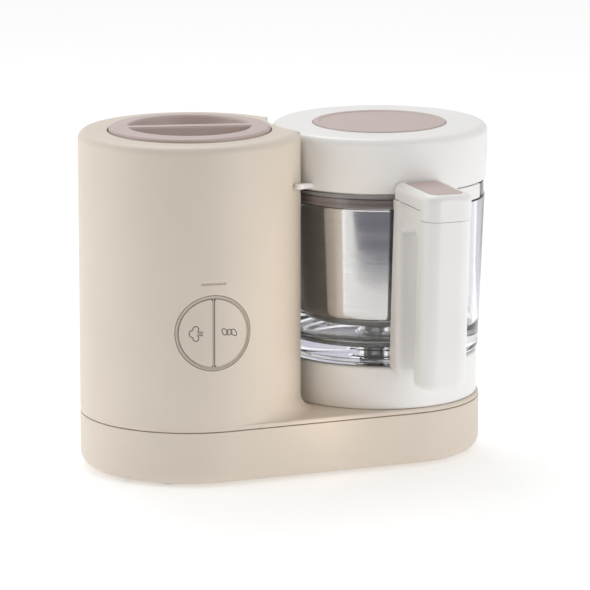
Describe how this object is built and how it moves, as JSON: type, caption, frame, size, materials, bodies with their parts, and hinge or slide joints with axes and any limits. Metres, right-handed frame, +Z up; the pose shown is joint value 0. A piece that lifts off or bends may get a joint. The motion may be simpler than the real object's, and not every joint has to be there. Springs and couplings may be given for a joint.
{
  "type": "baby food maker",
  "caption": "Baby food maker: a beige boiler tower with a mauve filling cap and two half-moon buttons beside a lidded glass jug with a blade and a steel steam basket, on one long base.",
  "frame": {"origin": "under the middle of the whole object's bounding box, on the table the feet stand on", "axes": "+X from the boiler tower to the jug, -Y towards the user, where the buttons and the handle are, +Z up"},
  "size_m": [0.3134, 0.2288, 0.2555],
  "materials": {
    "beige_housing": "fine moulded grain",
    "white_plastic": "soft gloss",
    "mauve_plastic": "fine moulded grain",
    "foot_rubber": "matt",
    "seal_silicone": "matt, translucent",
    "basket_steel": "brushed round the axis",
    "steel": "plain",
    "aluminium": "satin",
    "brass": "plain",
    "black_plastic": "matt",
    "circuit_board": "lacquered",
    "bowl_glass": "clear",
    "lamp_lens": "diffusing"
  },
  "bodies": {
    "base": {"control_bezel": "beige_housing", "indicator_lens": "lamp_lens", "control_board": "circuit_board", "steam_switch": "black_plastic", "blend_switch": "black_plastic", "power_inlet": "black_plastic", "power_board": "circuit_board", "tank_neck": "white_plastic", "neck_screw_1": "steel", "neck_screw_2": "steel", "neck_screw_3": "steel", "boiler_tank": "aluminium", "heater_plate": "aluminium", "heating_element": "steel", "thermostat": "black_plastic", "steam_tube": "seal_silicone", "steam_outlet": "white_plastic", "steam_outlet_seal": "seal_silicone", "pedestal": "white_plastic", "motor_can": "steel", "motor_bracket": "steel", "motor_bearing_bottom": "brass", "motor_bearing_top": "brass", "lower_shell": "beige_housing", "foot_1": "foot_rubber", "foot_2": "foot_rubber", "foot_3": "foot_rubber", "foot_4": "foot_rubber", "base_screw_1": "steel", "base_screw_2": "steel", "base_screw_3": "steel", "base_screw_4": "steel", "upper_housing": "beige_housing"},
    "cap_seal": {"tank_cap_seal": "seal_silicone"},
    "cap": {"tank_cap": "mauve_plastic", "tank_cap_plug": "white_plastic"},
    "rotor": {"motor_rotor": "steel", "cooling_fan": "black_plastic", "drive_coupling": "black_plastic"},
    "bowl": {"glass_bowl": "bowl_glass", "blade_bearing": "steel", "bearing_nut": "steel", "handle_frame": "white_plastic", "handle_grip": "white_plastic", "handle_cap": "white_plastic", "handle_screw_1": "steel", "handle_screw_2": "steel"},
    "release": {"release_button": "mauve_plastic"},
    "blade_unit": {"blade": "steel", "driven_coupling": "black_plastic"},
    "basket": {"steam_basket": "basket_steel", "basket_rim": "mauve_plastic"},
    "lid_ring": {"lid_seal": "seal_silicone"},
    "lid": {"lid_shell": "white_plastic", "lid_liner": "white_plastic", "lid_elbow": "white_plastic", "lid_disc": "mauve_plastic"},
    "steam_key": {"steam_button": "beige_housing"},
    "blend_key": {"blend_button": "beige_housing"}
  },
  "joints": [
    {"name": "cap_lift", "type": "slide", "parent": "base", "child": "cap_seal", "axis": [0, 0, 1], "range_m": [0, 0.03]},
    {"name": "cap_turn", "type": "hinge", "parent": "cap_seal", "child": "cap", "pos_m": [-0.07425, 0.02905, 0.25], "axis": [0, 0, 1], "range_deg": [0, 90]},
    {"name": "motor_spin", "type": "hinge", "parent": "base", "child": "rotor", "pos_m": [0.07575, 0.02905, 0.04], "axis": [0, 0, 1], "continuous": true},
    {"name": "bowl_lift", "type": "slide", "parent": "base", "child": "bowl", "axis": [0, 0, 1], "range_m": [0, 0.06]},
    {"name": "blade_spin", "type": "hinge", "parent": "bowl", "child": "blade_unit", "pos_m": [0.07575, 0.02905, 0.09], "axis": [0, 0, 1], "continuous": true},
    {"name": "release_press", "type": "slide", "parent": "bowl", "child": "release", "axis": [0, 0, -1], "range_m": [0, 0.0015], "stiffness_N_per_m": 700, "springref_m": -0.0015},
    {"name": "basket_lift", "type": "slide", "parent": "bowl", "child": "basket", "axis": [0, 0, 1], "range_m": [0, 0.11]},
    {"name": "lid_lift", "type": "slide", "parent": "basket", "child": "lid_ring", "axis": [0, 0, 1], "range_m": [0, 0.04]},
    {"name": "lid_turn", "type": "hinge", "parent": "lid_ring", "child": "lid", "pos_m": [0.07575, 0.02905, 0.21], "axis": [0, 0, 1], "range_deg": [0, 30]},
    {"name": "steam_press", "type": "slide", "parent": "base", "child": "steam_key", "axis": [0.1167, 0.9932, 0], "range_m": [0, 0.0012], "stiffness_N_per_m": 900, "springref_m": -0.001},
    {"name": "blend_press", "type": "slide", "parent": "base", "child": "blend_key", "axis": [0.1167, 0.9932, 0], "range_m": [0, 0.0012], "stiffness_N_per_m": 900, "springref_m": -0.001}
  ],
  "couplings": [
    {"joint": "blade_spin", "follows": "motor_spin", "ratio": 1}
  ]
}
